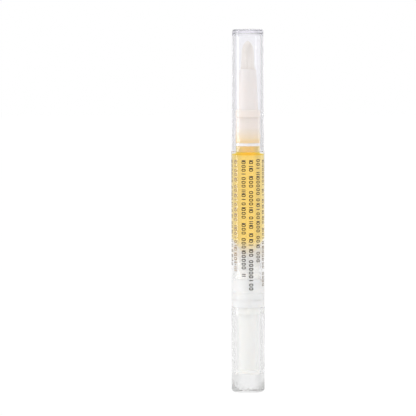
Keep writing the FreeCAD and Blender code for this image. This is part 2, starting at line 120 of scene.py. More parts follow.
# Mesh of a grid whose columns close round the axis. Rows close too on a hollow piece, and a row of
# no radius is drawn together into one pole.
def gridMesh(name, grid, closedRows=False, rowMaterial=None):
    rows, columns = grid.shape[:2]
    index = np.arange(rows * columns).reshape(rows, columns)
    above = np.roll(index, -1, axis=0)
    cells = np.stack([index, np.roll(index, -1, axis=1), np.roll(above, -1, axis=1), above], axis=-1)
    cells = cells if closedRows else cells[:-1]
    mesh = bpy.data.meshes.new(name)
    mesh.from_pydata(grid.reshape(-1, 3).tolist(), [], cells.reshape(-1, 4).tolist())
    if rowMaterial is not None:
        mesh.polygons.foreach_set("material_index", np.repeat(rowMaterial, columns).astype(np.int32))
    work = bmesh.new()
    work.from_mesh(mesh)
    bmesh.ops.remove_doubles(work, verts=work.verts, dist=poleReach)
    work.to_mesh(mesh)
    work.free()
    return smoothed(mesh)


# Smooth shading, apart from edges that turn by more than corner degrees
def smoothed(mesh, corner=35):
    mesh.shade_smooth()
    mesh.set_sharp_from_angle(angle=np.radians(corner))
    mesh.validate()
    return mesh


def turnedMesh(name, corners, sides, closedRows=False):
    outline = roundedOutline(corners)
    return gridMesh(name, turnedGrid(outline[:, 0], outline[:, 1], roundAngles(sides)), closedRows)


# Gives each point of a mesh a value, for a material to read
def carry(mesh, name, values):
    mesh.attributes.new(name, "FLOAT", "POINT").data.foreach_set("value", values.astype(np.float32))


def addPiece(mesh, materials, body, replaced=None):
    piece = bpy.data.objects.new(mesh.name, mesh)
    bpy.context.scene.collection.objects.link(piece)
    for material in materials:
        mesh.materials.append(material)
    if body:
        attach(piece, body)
    if replaced:
        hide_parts(replaced)
    print("piece", piece.name, "with", len(mesh.polygons), "faces")
    return piece


def newMaterial(name, kind="ShaderNodeBsdfPrincipled"):
    material = bpy.data.materials.new(name)
    material.use_nodes = True
    tree = material.node_tree
    tree.nodes.clear()
    output = tree.nodes.new("ShaderNodeOutputMaterial")
    shader = tree.nodes.new(kind)
    tree.links.new(shader.outputs[0], output.inputs["Surface"])
    return material, tree, shader


# Gives an input its value: another node's socket, or a plain number or colour
def feed(tree, socket, value):
    if isinstance(value, bpy.types.NodeSocket):
        tree.links.new(value, socket)
    else:
        socket.default_value = (*value, 1) if socket.type == "RGBA" else value


def setInputs(tree, node, values):
    for name, value in values.items():
        feed(tree, node.inputs[name], value)


# Clouds in the piece's own space, each about patch mm wide
def noiseField(tree, patch, detail, stretch=(1, 1, 1)):
    place = tree.nodes.new("ShaderNodeTexCoord")
    turn = tree.nodes.new("ShaderNodeMapping")
    field = tree.nodes.new("ShaderNodeTexNoise")
    setInputs(tree, turn, {"Vector": place.outputs["Object"], "Scale": stretch})
    setInputs(tree, field, {"Vector": turn.outputs["Vector"], "Scale": 1 / (patch * mm), "Detail": detail})
    return field.outputs[0]


# Value that the mesh carries at its points
def carriedField(tree, name):
    node = tree.nodes.new("ShaderNodeAttribute")
    node.attribute_name = name
    return node.outputs["Fac"]


# Runs from low to high while source runs from start to end. The usual start and end suit a noise field.
def ranged(tree, source, low, high, start=0.3, end=0.7):
    node = tree.nodes.new("ShaderNodeMapRange")
    setInputs(tree, node, {
        "Value": source,
        "From Min": start,
        "From Max": end,
        "To Min": low,
        "To Max": high,
    })
    return node.outputs["Result"]


# The mix node's sockets for colours come after those for numbers and vectors
mixSockets = {"first": 6, "second": 7, "result": 2}


# Mix of two colours, each a plain colour or a socket
def blended(tree, factor, first, second, mode="MIX"):
    node = tree.nodes.new("ShaderNodeMix")
    node.data_type = "RGBA"
    node.blend_type = mode
    feed(tree, node.inputs["Factor"], factor)
    feed(tree, node.inputs[mixSockets["first"]], first)
    feed(tree, node.inputs[mixSockets["second"]], second)
    return node.outputs[mixSockets["result"]]


# Colours along a value from 0 to 1. Each stop is its place and its colour, in rising order.
def colorRamp(tree, source, stops, interpolation="LINEAR"):
    node = tree.nodes.new("ShaderNodeValToRGB")
    node.color_ramp.interpolation = interpolation
    elements = node.color_ramp.elements
    for stop in stops[len(elements):]:
        elements.new(stop[0])
    for element, (place, color) in zip(elements, stops):
        element.position = place
        element.color = (*color, 1)
    tree.links.new(source, node.inputs["Fac"])
    return node.outputs["Color"]


# One step of arithmetic on sockets and plain numbers
def worked(tree, operation, *values):
    node = tree.nodes.new("ShaderNodeMath")
    node.operation = operation
    for socket, value in zip(node.inputs, values):
        feed(tree, socket, value)
    return node.outputs[0]


# source times factor, plus rest
def scaled(tree, source, factor, rest=0.0):
    return worked(tree, "MULTIPLY_ADD", source, factor, rest)


# Height inside the piece, in mm
def heightField(tree):
    place = tree.nodes.new("ShaderNodeTexCoord")
    split = tree.nodes.new("ShaderNodeSeparateXYZ")
    tree.links.new(place.outputs["Object"], split.inputs[0])
    return scaled(tree, split.outputs["Z"], 1 / mm)


# Relief in the skin, depth mm high where source is 1
def bumped(tree, shader, source, depth=1):
    node = tree.nodes.new("ShaderNodeBump")
    setInputs(tree, node, {"Strength": 1, "Distance": depth * mm, "Height": source})
    tree.links.new(node.outputs["Normal"], shader.inputs["Normal"])


def mixedSurface(tree, share, first, second):
    node = tree.nodes.new("ShaderNodeMixShader")
    for socket, source in zip(node.inputs, (share, first, second)):
        tree.links.new(source, socket)
    return node.outputs[0]


# Input of the material's output node
def outlet(tree, name):
    return tree.get_output_node("ALL").inputs[name]


# Lets lamps and soft light reach what is behind a clear piece
def letLightThrough(tree, shader):
    path = tree.nodes.new("ShaderNodeLightPath")
    surface = shader.outputs[0]
    for ray in ("Is Diffuse Ray", "Is Shadow Ray"):
        clear = tree.nodes.new("ShaderNodeBsdfTransparent")
        surface = mixedSurface(tree, path.outputs[ray], surface, clear.outputs[0])
    tree.links.new(surface, outlet(tree, "Surface"))


# Colours light by the way that it goes inside: each metre takes density times the missing part of passes
def addDepth(tree, look):
    depth = tree.nodes.new("ShaderNodeVolumeAbsorption")
    setInputs(tree, depth, {"Color": look["passes"], "Density": look["density"]})
    tree.links.new(depth.outputs[0], outlet(tree, "Volume"))


# Clear moulded plastic: faint flow waves in the skin, handling haze in the gloss, and a trace of milkiness.
# The knob's foot is pebbled up to the height where the pebbles fade, and then less and less to their top.
# Widths, depths and heights are in mm.
clearLook = {"tint": (0.985, 0.985, 0.985), "ior": 1.5, "clear": 0.98, "gloss": (0.0, 0.03), "haze": 6.0,
             "wave": 5.0, "waveStretch": (1, 1, 0.25), "waveDepth": 0.0008, "density": 1000,
             "passes": (0.99, 0.99, 0.99)}
capLook = dict(clearLook, clear=0.94, tint=(0.958, 0.956, 0.972), passes=(0.985, 0.984, 0.99))
barrelLook = dict(clearLook, density=100)
knobLook = dict(clearLook, clear=0.95, pebble=0.9, pebbleDepth=0.42, pebbleFade=2.4, pebbleTop=4.4)


def clearPlastic(name, look):
    material, tree, shader = newMaterial(name)
    haze = noiseField(tree, look["haze"], detail=5)
    setInputs(tree, shader, {
        "Base Color": look["tint"],
        "Transmission Weight": look["clear"],
        "IOR": look["ior"],
        "Roughness": ranged(tree, haze, *look["gloss"]),
    })
    wave = noiseField(tree, look["wave"], detail=1, stretch=look["waveStretch"])
    relief = scaled(tree, wave, look["waveDepth"])
    if "pebble" in look:
        foot = ranged(tree, heightField(tree), look["pebbleDepth"], 0, look["pebbleFade"], look["pebbleTop"])
        pebbles = worked(tree, "SUBTRACT", noiseField(tree, look["pebble"], detail=2), noiseMiddle)
        relief = scaled(tree, pebbles, foot, relief)
    bumped(tree, shader, relief)
    letLightThrough(tree, shader)
    addDepth(tree, look)
    return material


# Where oil or a pressed-in piece touches the plastic, light goes straight on, and the wall doesn't show
def wettedWall(name):
    return newMaterial(name, "ShaderNodeBsdfTransparent")[0]


# Oil: clear at its skin, and yellow by the depth of oil that light crosses
oilLook = {"tint": white, "clear": 1.0, "ior": 1.0, "gloss": 0.0, "density": 2000,
           "passes": (0.9998, 0.978, 0.89)}
neckOilLook = dict(oilLook, density=4600, passes=(1.0, 0.979, 0.83))


def oilLiquid(name, look):
    material, tree, shader = newMaterial(name)
    setInputs(tree, shader, {
        "Base Color": look["tint"],
        "Transmission Weight": look["clear"],
        "IOR": look["ior"],
        "Roughness": look["gloss"],
    })
    letLightThrough(tree, shader)
    addDepth(tree, look)
    return material


# Solid moulded plastic: cloudy colour, fine grain, and light that sinks a little way in.
# The widths of cloud and grain and both depths are in mm.
solidLook = {"grainDepth": 0.003, "sinkDepth": 0.8, "sinkTones": (1.0, 0.9, 0.8)}
milkyLook = dict(solidLook, colors=((0.89, 0.845, 0.825), (0.865, 0.82, 0.80)), cloud=2.5, gloss=(0.28, 0.4),
                 grain=0.35, ior=1.45, sink=0.5)
whiteLook = dict(solidLook, colors=((0.93, 0.925, 0.90), (0.90, 0.895, 0.87)), cloud=3.0, gloss=(0.3, 0.45),
                 grain=0.3, ior=1.48, sink=0.4)
nutLook = dict(whiteLook, colors=((0.885, 0.88, 0.875), (0.86, 0.855, 0.85)))
pistonLook = dict(solidLook, colors=((0.97, 0.95, 0.91), (0.95, 0.93, 0.89)), cloud=2.0, gloss=(0.35, 0.5),
                  grain=0.25, ior=1.5, sink=0.2)
sealLook = dict(solidLook, colors=((0.95, 0.94, 0.93), (0.91, 0.90, 0.89)), cloud=1.2, gloss=(0.4, 0.55),
                grain=0.2, grainDepth=0.004, ior=1.42, sink=0.3)
# The ink's paled colour is a painted highlight on the row under the left soft box's streak, and plain paling
# elsewhere
inkLook = dict(solidLook, colors=((0.012, 0.008, 0.004), (0.03, 0.02, 0.01)), cloud=0.5, gloss=(0.35, 0.6),
               grain=0.12, ior=1.5, sink=0.0, paledColor=(0.50, 0.36, 0.24))


def mouldedNodes(name, look):
    material, tree, shader = newMaterial(name)
    cloud = noiseField(tree, look["cloud"], detail=4)
    grain = noiseField(tree, look["grain"], detail=3)
    bumped(tree, shader, grain, look["grainDepth"])
    setInputs(tree, shader, {
        "Base Color": blended(tree, ranged(tree, cloud, 0, 1), *look["colors"]),
        "Roughness": ranged(tree, grain, *look["gloss"]),
        "IOR": look["ior"],
        "Subsurface Weight": look["sink"],
        "Subsurface Radius": look["sinkTones"],
        "Subsurface Scale": look["sinkDepth"] * mm,
    })
    return material, tree, shader


def solidPlastic(name, look):
    return mouldedNodes(name, look)[0]


# Mixes another colour into the one that the plastic already has
def repaint(tree, shader, factor, color, mode="MIX"):
    socket = shader.inputs["Base Color"]
    feed(tree, socket, blended(tree, factor, socket.links[0].from_socket, color, mode))


# The holder's thin plug lets the colour of the oil inside it come through: each stain is a height in mm
# and the colour that the milky plastic is multiplied by there
stainLook = {"low": 88.0, "high": 118.0, "stains": (
    (90.8, (1.03, 0.76, 0.33)), (91.7, (1.08, 0.79, 0.33)), (92.4, (1.08, 0.88, 0.50)),
    (93.4, (1.06, 0.90, 0.64)), (95.7, (1.0, 0.93, 0.79)), (96.4, (1.05, 0.975, 0.885)),
    (99.9, (1.05, 0.98, 0.895)), (102.6, (1.03, 0.975, 0.895)), (103.1, (1.01, 0.985, 0.945)),
    (117.0, (1.01, 0.99, 0.955)))}


def stainedPlastic(name, look, stain):
    material, tree, shader = mouldedNodes(name, look)
    low, high = stain["low"], stain["high"]
    stops = [((height - low) / (high - low), color) for height, color in stain["stains"]]
    tint = colorRamp(tree, ranged(tree, heightField(tree), 0, 1, low, high), stops)
    repaint(tree, shader, 1, tint, "MULTIPLY")
    return material


# The piston's cup is thin at its rim and thick at its floor, so the oil shows through it less and less.
# Heights are in mm.
cupLook = {"rim": 56.5, "floor": 48.0, "rimSolid": 0.02, "floorSolid": 1.0}


def thinnedPlastic(name, look, cup):
    material, tree, shader = mouldedNodes(name, look)
    solid = ranged(tree, heightField(tree), cup["floorSolid"], cup["rimSolid"], cup["floor"], cup["rim"])
    solid.node.interpolation_type = "SMOOTHSTEP"
    feed(tree, shader.inputs["Alpha"], solid)
    return material


# Ink paled towards light brown in some rows; on the row under the left soft box's streak the paling is a
# painted highlight
def printedInk(name, look):
    material, tree, shader = mouldedNodes(name, look)
    repaint(tree, shader, carriedField(tree, "paling"), look["paledColor"])
    return material


# Bristle: each strand has its own tone and gloss, and is paler towards the tip
bristleLook = {"root": (0.995, 0.955, 0.91), "tip": (0.995, 0.965, 0.925), "strandTone": 0.06,
               "gloss": (0.3, 0.5), "grain": 0.08, "grainStretch": (1, 1, 0.2), "grainDepth": 0.004}


def bristleFibre(name, look):
    material, tree, shader = newMaterial(name)
    color = blended(tree, carriedField(tree, "strandRise"), look["root"], look["tip"])
    tone = carriedField(tree, "strandTone")
    darkest, palest = 1 - look["strandTone"], 1 + look["strandTone"] / 2
    shade = tree.nodes.new("ShaderNodeHueSaturation")
    setInputs(tree, shade, {"Color": color, "Value": ranged(tree, tone, darkest, palest, 0, 1)})
    setInputs(tree, shader, {
        "Base Color": shade.outputs["Color"],
        "Roughness": ranged(tree, tone, *look["gloss"], 0, 1),
    })
    grain = noiseField(tree, look["grain"], detail=2, stretch=look["grainStretch"])
    bumped(tree, shader, grain, look["grainDepth"])
    return material


capSkin = clearPlastic("clearCapPlastic", capLook)
barrelSkin = clearPlastic("clearBarrelPlastic", barrelLook)
knobSkin = clearPlastic("clearKnobPlastic", knobLook)
wetSkin = wettedWall("oilWettedWall")
oilFill = oilLiquid("nailOil", oilLook)
neckOil = oilLiquid("nailOilInNeck", neckOilLook)
milkySkin = solidPlastic("milkyPlastic", milkyLook)
holderSkin = stainedPlastic("milkyHolderPlastic", milkyLook, stainLook)
whiteSkin = solidPlastic("whitePlastic", whiteLook)
nutSkin = solidPlastic("nutPlastic", nutLook)
pistonSkin = thinnedPlastic("pistonPlastic", pistonLook, cupLook)
sealSkin = solidPlastic("sealRubber", sealLook)
inkSkin = printedInk("darkInk", inkLook)
bristleSkin = bristleFibre("bristleFibre", bristleLook)
print("materials made")

# Cap, from the middle of its ceiling down the bore, round the mouth and up to the middle of its top
capSizes = {"radius": 5.8, "topRadius": 5.66, "top": 132.0, "ceiling": 130.6, "bore": 4.7, "mouth": 87.67,
            "edgeRound": 0.9, "ceilingRound": 1.2, "mouthRound": 0.06, "sides": 144}


def makeCap(size):
    corners = [
        (0, size["ceiling"]),
        (size["bore"], size["ceiling"], size["ceilingRound"]),
        (size["bore"], size["mouth"], size["mouthRound"]),
        (size["radius"], size["mouth"], size["mouthRound"]),
        (size["topRadius"], size["top"], size["edgeRound"]),
        (0, size["top"]),
    ]
    mesh = turnedMesh("capClear", corners, size["sides"])
    addPiece(mesh, [capSkin], "cap", "cap_shell")


makeCap(capSizes)

# Barrel with its neck, once round the wall: up the outside, over the rim and back down the bore
barrelSizes = {"radius": 6.0, "rear": 31.06, "rearRound": 0.06, "shoulder": capSizes["mouth"] - endGap,
               "shoulderRound": 0.1, "neck": 4.45, "rim": 100.2, "rimRound": 0.2, "socket": 3.6,
               "socketFloor": 89.75, "throat": 2.9, "throatFoot": 86.95, "bore": 4.4, "chamberTop": 86.25,
               "oilFoot": 48.05, "nutTop": 41.4, "seat": 5.0, "seatTop": 33.5, "seatRound": 0.04,
               "beadFoot": 92.65, "beadTop": 93.85, "beadRise": 0.21, "beadRound": 0.1, "grooveFoot": 35.97,
               "grooveTop": 36.83, "grooveDepth": 0.15, "sides": 144}


def makeBarrel(size):
    bead = size["neck"] + size["beadRise"]
    groove = size["bore"] + size["grooveDepth"]
    corners = [
        (size["seat"], size["rear"], size["seatRound"]),
        (size["radius"], size["rear"], size["rearRound"]),
        (size["radius"], size["shoulder"], size["shoulderRound"]),
        (size["neck"], size["shoulder"]),
        (size["neck"], size["beadFoot"]),
        (bead, size["beadFoot"] + size["beadRise"], size["beadRound"]),
        (bead, size["beadTop"] - size["beadRise"], size["beadRound"]),
        (size["neck"], size["beadTop"]),
        (size["neck"], size["rim"], size["rimRound"]),
        (size["socket"], size["rim"]),
        (size["socket"], size["socketFloor"]),
        (size["throat"], size["socketFloor"]),
        (size["throat"], size["throatFoot"]),
        (size["bore"], size["chamberTop"]),
        (size["bore"], size["oilFoot"]),
        (size["bore"], size["nutTop"]),
        (size["bore"], size["grooveTop"]),
        (groove, size["grooveTop"] - size["grooveDepth"]),
        (groove, size["grooveFoot"] + size["grooveDepth"]),
        (size["bore"], size["grooveFoot"]),
        (size["bore"], size["seatTop"]),
        (size["seat"], size["seatTop"]),
    ]
    outline = roundedOutline(corners)
    radius, height = ((outline + np.roll(outline, -1, axis=0)) / 2).T
    # oil wets the bore, and the seal and the plug sit wet in the socket
    wetted = (radius < size["bore"] + touching) & (height > size["oilFoot"])
    wetted &= height < size["rim"] - touching
    # the nut and the ratchet ring are pressed in so tightly that no air shows between them and the wall
    wetted |= (radius < size["seat"] + touching) & (height < size["nutTop"])
    grid = turnedGrid(outline[:, 0], outline[:, 1], roundAngles(size["sides"]))
    mesh = gridMesh("barrelClear", grid, closedRows=True, rowMaterial=wetted)
    addPiece(mesh, [barrelSkin, wetSkin], "barrel", "barrel")


makeBarrel(barrelSizes)

# Knob, from the middle of its foot up the outside and down the bore to the middle of its floor.
# Four slots cut the bore's upper end back, where the sleeve's ribs lie.
knobSizes = {"radius": barrelSizes["radius"], "length": barrelSizes["rear"] - endGap,
             "bore": barrelSizes["bore"], "floor": 6.6, "footRound": 1.0, "rimRound": 0.06,
             "floorRound": 0.25, "slotRadius": 4.82, "slotFoot": 28.47, "slotHalf": 0.53, "slots": 4,
             "sides": 144}


def makeKnob(size):
    corners = [
        (0, 0),
        (size["radius"], 0, size["footRound"]),
        (size["radius"], size["length"], size["rimRound"]),
        (size["bore"], size["length"]),
        (size["bore"], size["slotFoot"] + hair),
        (size["bore"], size["slotFoot"] - hair),
        (size["bore"], size["floor"], size["floorRound"]),
        (0, size["floor"]),
    ]
    outline = roundedOutline(corners)
    centres = evenAngles(size["slots"])
    reach = np.arcsin(size["slotHalf"] / size["slotRadius"])
    angle = roundAngles(size["sides"], np.concatenate([centres - reach, centres + reach]))
    slotRows = (np.abs(outline[:, 0] - size["bore"]) < hair) & (outline[:, 1] > size["slotFoot"])
    radius = stepped(outline[:, :1], slotRows, angle, centres, reach, size["slotRadius"])
    mesh = gridMesh("knobClear", turnedGrid(radius, outline[:, 1], angle))
    addPiece(mesh, [knobSkin], "knob", "knob_shell")


makeKnob(knobSizes)

# Sleeve inside the knob, once round its wall. Ribs and a key stand out of it, and two flats close its
# front bore: there the radius is at most the flat's distance over the cosine of the angle.
sleeveSizes = {"rear": knobSizes["floor"], "rearRound": 0.15, "collar": knobSizes["bore"] - slip,
               "rearCollar": 8.1, "collarRound": 0.2, "tube": 3.5, "knobTop": knobSizes["length"],
               "journal": 3.4, "snap": 3.65, "snapFoot": 38.1, "snapTop": 38.7, "front": 40.1,
               "frontRound": 0.2, "bore": 2.6, "driveBore": 2.25, "driveRear": 35.5, "driveFlat": 1.55,
               "ribFoot": knobSizes["slotFoot"] + slip, "rib": knobSizes["slotRadius"] - slip,
               "ribHalf": knobSizes["slotHalf"] - slip, "ribs": knobSizes["slots"], "key": 3.78,
               "keyTop": 33.4, "keyHalf": 0.57, "sides": 120}


def makeSleeve(size):
    snapSide = size["snap"] - size["journal"]
    corners = [
        (size["bore"], size["rear"]),
        (size["collar"], size["rear"], size["rearRound"]),
        (size["collar"], size["rearCollar"], size["collarRound"]),
        (size["tube"], size["rearCollar"]),
        (size["tube"], size["ribFoot"]),
        (size["collar"], size["ribFoot"]),
        (size["collar"], size["knobTop"]),
        (size["journal"], size["knobTop"]),
        (size["journal"], size["keyTop"] - hair),
        (size["journal"], size["keyTop"] + hair),
        (size["journal"], size["snapFoot"]),
        (size["snap"], size["snapFoot"] + snapSide),
        (size["snap"], size["snapTop"] - snapSide),
        (size["journal"], size["snapTop"]),
        (size["journal"], size["front"], size["frontRound"]),
        (size["driveBore"], size["front"]),
        (size["driveBore"], size["driveRear"]),
        (size["bore"], size["driveRear"]),
    ]
    outline = roundedOutline(corners)
    plain, height = outline.T
    ribCentres = evenAngles(size["ribs"])
    ribReach = np.arcsin(size["ribHalf"] / size["rib"])
    keyReach = np.arcsin(size["keyHalf"] / size["key"])
    edges = np.concatenate([ribCentres - ribReach, ribCentres + ribReach, [-keyReach, keyReach]])
    angle = roundAngles(size["sides"], edges)
    ribRows = (np.abs(plain - size["collar"]) < hair) & (height > size["ribFoot"] - hair)
    radius = stepped(plain[:, None], ribRows, angle, ribCentres, ribReach, size["rib"])
    keyRows = (np.abs(plain - size["journal"]) < hair) & (height < size["keyTop"])
    radius = stepped(radius, keyRows, angle, [0], keyReach, size["key"])
    flatRows = np.abs(plain - size["driveBore"]) < hair
    flat = size["driveFlat"] / np.maximum(np.abs(np.cos(angle)), hair)
    radius = np.where(flatRows[:, None], np.minimum(radius, flat[None]), radius)
    mesh = gridMesh("driveSleeve", turnedGrid(radius, height, angle), closedRows=True)
    addPiece(mesh, [whiteSkin], "knob", "drive_sleeve")


makeSleeve(sleeveSizes)

# Piston: two sealing lips, a waist between them and a thin-edged cup on top, hollow below
pistonSizes = {"rear": 41.43, "rearRound": 0.15, "lip": barrelSizes["bore"] - slip, "lipHeight": 1.0,
               "lipRound": 0.3, "lipTop": 48.0, "waist": 3.9, "waistRound": 0.4, "cupRim": 55.8,
               "cupRimBore": 4.07, "rimRound": 0.08, "cupFloor": 49.4, "cupFloorRadius": 0.8,
               "floorRound": 0.3, "hollow": 3.2, "hollowTop": 45.8, "neckHole": 1.3, "webTop": 46.7,
               "pocket": 2.0, "pocketTop": 48.5, "sides": 128}


def makePiston(size):
    lip = size["lipHeight"]
    corners = [
        (0, size["pocketTop"]),
        (size["pocket"], size["pocketTop"]),
        (size["pocket"], size["webTop"]),
        (size["neckHole"], size["webTop"]),
        (size["neckHole"], size["hollowTop"]),
        (size["hollow"], size["hollowTop"]),
        (size["hollow"], size["rear"]),
        (size["lip"], size["rear"], size["rearRound"]),
        (size["lip"], size["rear"] + lip, size["lipRound"]),
        (size["waist"], size["rear"] + 2 * lip, size["waistRound"]),
        (size["waist"], size["lipTop"] - 2 * lip, size["waistRound"]),
        (size["lip"], size["lipTop"] - lip, size["lipRound"]),
        (size["lip"], size["cupRim"], size["rimRound"]),
        (size["cupRimBore"], size["cupRim"], size["rimRound"]),
        (size["cupFloorRadius"], size["cupFloor"], size["floorRound"]),
        (0, size["cupFloor"]),
    ]
    outline = roundedOutline(corners)
    radius, height = ((outline[:-1] + outline[1:]) / 2).T
    # oil wets the inside of the cup
    wetted = (height > size["cupFloor"] - touching) & (radius < size["lip"] - touching)
    grid = turnedGrid(outline[:, 0], outline[:, 1], roundAngles(size["sides"]))
    mesh = gridMesh("pistonBody", grid, rowMaterial=wetted)
    addPiece(mesh, [pistonSkin, wetSkin], "piston", "piston")


makePiston(pistonSizes)

# Brush holder: plug, flange and cone, once round its wall
holderSizes = {"plugFoot": 90.85, "plugBore": 2.9, "plug": barrelSizes["socket"] - slip, "plugRound": 0.15,
               "plugTop": 104.0, "neckTop": barrelSizes["rim"], "flange": 4.5, "flangeTop": 102.8,
               "flangeFootRound": 0.2, "flangeRound": 0.3, "coneBase": 3.8, "coneFootRound": 0.25,
               "tip": 117.6, "coneTip": 3.05, "tipRound": 0.2, "tuftSocket": 2.73, "tuftFoot": 112.6,
               "socketRound": 0.1, "passage": 1.2, "sides": 128}


def makeHolder(size):
    corners = [
        (size["plugBore"], size["plugFoot"]),
        (size["plug"], size["plugFoot"], size["plugRound"]),
        (size["plug"], size["neckTop"]),
        (size["flange"], size["neckTop"], size["flangeFootRound"]),
        (size["flange"], size["flangeTop"], size["flangeRound"]),
        (size["coneBase"], size["flangeTop"], size["coneFootRound"]),
        (size["coneTip"], size["tip"], size["tipRound"]),
        (size["tuftSocket"], size["tip"], size["socketRound"]),
        (size["tuftSocket"], size["tuftFoot"]),
        (size["passage"], size["tuftFoot"]),
        (size["passage"], size["plugTop"]),
        (size["plugBore"], size["plugTop"]),
    ]
    mesh = turnedMesh("brushHolder", corners, size["sides"], closedRows=True)
    addPiece(mesh, [holderSkin], "barrel", "brush_holder")


makeHolder(holderSizes)

# Seal ring squeezed between the plug and the floor of its socket
sealSizes = {"inner": 2.95, "outer": holderSizes["plug"], "foot": barrelSizes["socketFloor"],
             "top": holderSizes["plugFoot"], "innerRound": 0.15, "outerRound": 0.3, "sides": 96}


def makeSeal(size):
    corners = [
        (size["inner"], size["foot"], size["innerRound"]),
        (size["outer"], size["foot"], size["outerRound"]),
        (size["outer"], size["top"], size["outerRound"]),
        (size["inner"], size["top"], size["innerRound"]),
    ]
    mesh = turnedMesh("plugSeal", corners, size["sides"], closedRows=True)
    addPiece(mesh, [sealSkin], "barrel", "plug_seal_ring")


makeSeal(sealSizes)

# Oil: the column fills the piston's cup and shortens as the cup climbs, and the neck stays full
oilSizes = {"bore": barrelSizes["bore"] - film, "cupRim": pistonSizes["cupRim"] + cupFilm,
            "cupRimBore": pistonSizes["cupRimBore"] - film, "cupFloor": pistonSizes["cupFloor"] + cupFilm,
            "cupFloorRadius": 0.78, "top": barrelSizes["chamberTop"] - endGap / 2,
            "neckFoot": barrelSizes["chamberTop"] + endGap / 2, "throat": barrelSizes["throat"] - film,
            "throatFoot": barrelSizes["throatFoot"], "level": 96.07, "pipe": 0.83, "pipeFoot": 95.27,
            "sides": 128}


def makeOil(size):
    column = [
        (0, size["cupFloor"]),
        (size["cupFloorRadius"], size["cupFloor"]),
        (size["cupRimBore"], size["cupRim"]),
        (size["bore"], size["cupRim"]),
        (size["bore"], size["top"]),
        (0, size["top"]),
    ]
    neck = [
        (0, size["neckFoot"]),
        (size["bore"], size["neckFoot"]),
        (size["throat"], size["throatFoot"]),
        (size["throat"], size["level"]),
        (size["pipe"], size["level"]),
        (size["pipe"], size["pipeFoot"]),
        (0, size["pipeFoot"]),
    ]
    poured = addPiece(turnedMesh("oilColumn", column, size["sides"]), [oilFill], None, "oil_fill")
    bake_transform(poured)
    addPiece(turnedMesh("oilNeck", neck, size["sides"]), [neckOil], "barrel", "oil_neck")


makeOil(oilSizes)

# Brush tuft: strands spread like the seeds of a sunflower, so that they fill the disc evenly. Each one
# rises from the holder, leans with the tuft's outline round the feed pipe, and ends on a rounded tip.
# The outlines of the tuft and of the room for the pipe are heights with the radii there.
tuftSizes = {"strands": 1000, "thickness": 0.125, "sides": 5, "rings": 9, "foot": 113.0, "tip": 127.66,
             "dome": 1.7, "domePower": 3, "uneven": 0.35, "unevenPower": 2, "turnSpread": 0.05,
             "wander": 0.05, "wanderTurn": 5, "girthShares": (0, 0.75, 1), "girths": (1, 0.9, 0.35),
             "tipRise": 0.03,
             "heights": (holderSizes["tuftFoot"], holderSizes["tip"], 124.6, 127.7),
             "radii": (2.6, 2.5, 2.12, 1.25), "pipeHeights": (holderSizes["tuftFoot"], 120.8, 123.5, 127.7),
             "pipeRadii": (0.9, 0.9, 0.1, 0.0), "crease": 60, "seed": 11}


# Middle line of every strand: seed places on the disc, carried up between the two outlines, with a slow
# sine of wander that grows towards the tip
def strandMiddles(size, share, chance):
    count = size["strands"]
    number = np.arange(count)
    goldenTurn = np.pi * (3 - np.sqrt(5))
    spread = np.sqrt((number + 0.5) / count)
    turn = number * goldenTurn + chance.normal(0, size["turnSpread"], count)
    shortened = size["uneven"] * chance.random(count) ** size["unevenPower"]
    end = size["tip"] - size["dome"] * spread ** size["domePower"] - shortened
    height = size["foot"] + (end - size["foot"])[:, None] * share
    inner = np.interp(height, size["pipeHeights"], size["pipeRadii"])
    outer = np.interp(height, size["heights"], size["radii"])
    reach = inner + (outer - inner) * spread[:, None]
    phase = chance.random((2, count, 1)) * wholeTurn
    wave = size["wander"] * share * np.sin(phase[1] + share * size["wanderTurn"])
    return np.stack([
        reach * np.cos(turn)[:, None] + wave * np.cos(phase[0]),
        reach * np.sin(turn)[:, None] + wave * np.sin(phase[0]),
        height,
    ], axis=-1)


# Each strand is a thin tube of rings round its middle line, closed by a point at each end
def makeTuft(size):
    chance = np.random.default_rng(size["seed"])
    count, rings, sides = size["strands"], size["rings"], size["sides"]
    share = np.linspace(0, 1, rings)
    middle = strandMiddles(size, share, chance)
    girth = size["thickness"] / 2 * np.interp(share, size["girthShares"], size["girths"])
    angle = evenAngles(sides)
    ring = np.stack([np.cos(angle), np.sin(angle), np.zeros(sides)], axis=-1)
    tubes = middle[:, :, None] + girth[:, None, None] * ring
    ends = np.stack([middle[:, 0], middle[:, -1] + np.array([0, 0, size["tipRise"]])], axis=1)
    points = np.concatenate([tubes.reshape(count, -1, 3), ends], axis=1)
    perStrand = rings * sides + 2
    index = np.arange(rings * sides).reshape(rings, sides)
    beside = np.roll(index, -1, axis=1)
    walls = np.stack([index[:-1], beside[:-1], beside[1:], index[1:]], axis=-1).reshape(-1, 4)
    foot = np.stack([beside[0], index[0], np.full(sides, perStrand - 2)], axis=-1)
    tip = np.stack([index[-1], beside[-1], np.full(sides, perStrand - 1)], axis=-1)
    shift = (np.arange(count) * perStrand)[:, None, None]
    mesh = bpy.data.meshes.new("tuftBristles")
    mesh.from_pydata((points * mm).reshape(-1, 3).tolist(), [],
                     (walls + shift).reshape(-1, 4).tolist()
                     + (np.concatenate([foot, tip]) + shift).reshape(-1, 3).tolist())
    carry(mesh, "strandRise", np.tile(np.concatenate([np.repeat(share, sides), [0, 1]]), count))
    carry(mesh, "strandTone", np.repeat(chance.random(count), perStrand))
    addPiece(smoothed(mesh, size["crease"]), [bristleSkin], "barrel", "brush_tuft")


makeTuft(tuftSizes)
